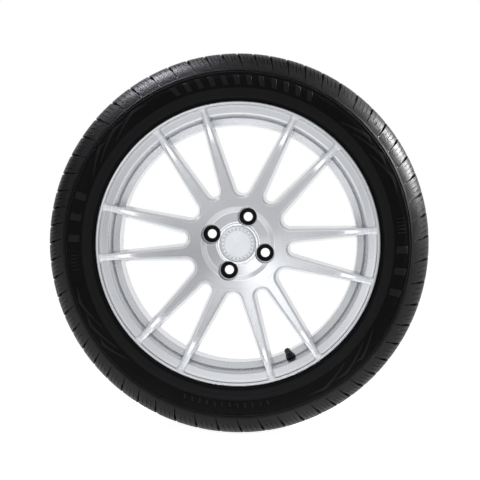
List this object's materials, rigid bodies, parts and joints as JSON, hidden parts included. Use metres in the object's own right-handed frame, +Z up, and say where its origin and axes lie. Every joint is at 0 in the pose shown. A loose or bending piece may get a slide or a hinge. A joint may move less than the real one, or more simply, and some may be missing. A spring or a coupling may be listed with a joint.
{
  "type": "all-season tyre on alloy wheel",
  "caption": "Low-profile all-season radial tyre mounted on a cast alloy wheel with twin spokes, a clipped centre cap and a snap-in tubeless valve with a screw cap.",
  "frame": {"origin": "centre of the wheel and tyre on the spin axis, midway across the tyre", "axes": "the wheel spins about Y; the styled outer face looks towards -Y, the mounting face towards +Y, and +Z is up"},
  "size_m": [0.6686, 0.236, 0.6686],
  "materials": {
    "alloy": "satin silver lacquer over cast alloy",
    "tyre_rubber": "matt moulded rubber with raised ornaments",
    "cap_plastic": "silver lacquered plastic",
    "spring_steel": "bright drawn wire",
    "valve_rubber": "smooth moulded rubber",
    "brass": "turned brass",
    "black_plastic": "moulded black plastic"
  },
  "bodies": {
    "wheel_assembly": {"wheel": "alloy", "tyre": "tyre_rubber", "centre_cap": "cap_plastic", "centre_cap_ring": "spring_steel", "valve_body": "valve_rubber", "valve_stem": "brass", "valve_core_body": "brass", "valve_core_spring": "spring_steel"},
    "core_pin": {"valve_core_pin": "brass", "valve_core_seal": "valve_rubber"},
    "cap_seal": {"valve_cap_seal": "valve_rubber"},
    "cap": {"valve_cap": "black_plastic"}
  },
  "joints": [
    {"name": "core_press", "type": "slide", "parent": "wheel_assembly", "child": "core_pin", "axis": [0.2302, 0.8387, -0.4936], "range_m": [0, 0.0015], "stiffness_N_per_m": 800, "springref_m": -0.001, "deforming": ["valve_core_spring"]},
    {"name": "cap_lift", "type": "slide", "parent": "wheel_assembly", "child": "cap_seal", "axis": [-0.2302, -0.8387, 0.4936], "range_m": [0, 0.00397]},
    {"name": "cap_turn", "type": "hinge", "parent": "cap_seal", "child": "cap", "pos_m": [0.08707, -0.09933, -0.18672], "axis": [-0.2302, -0.8387, 0.4936], "range_deg": [0, 1800]}
  ],
  "couplings": [
    {"joint": "cap_turn", "follows": "cap_lift", "rad_per_m": 7915.8}
  ]
}
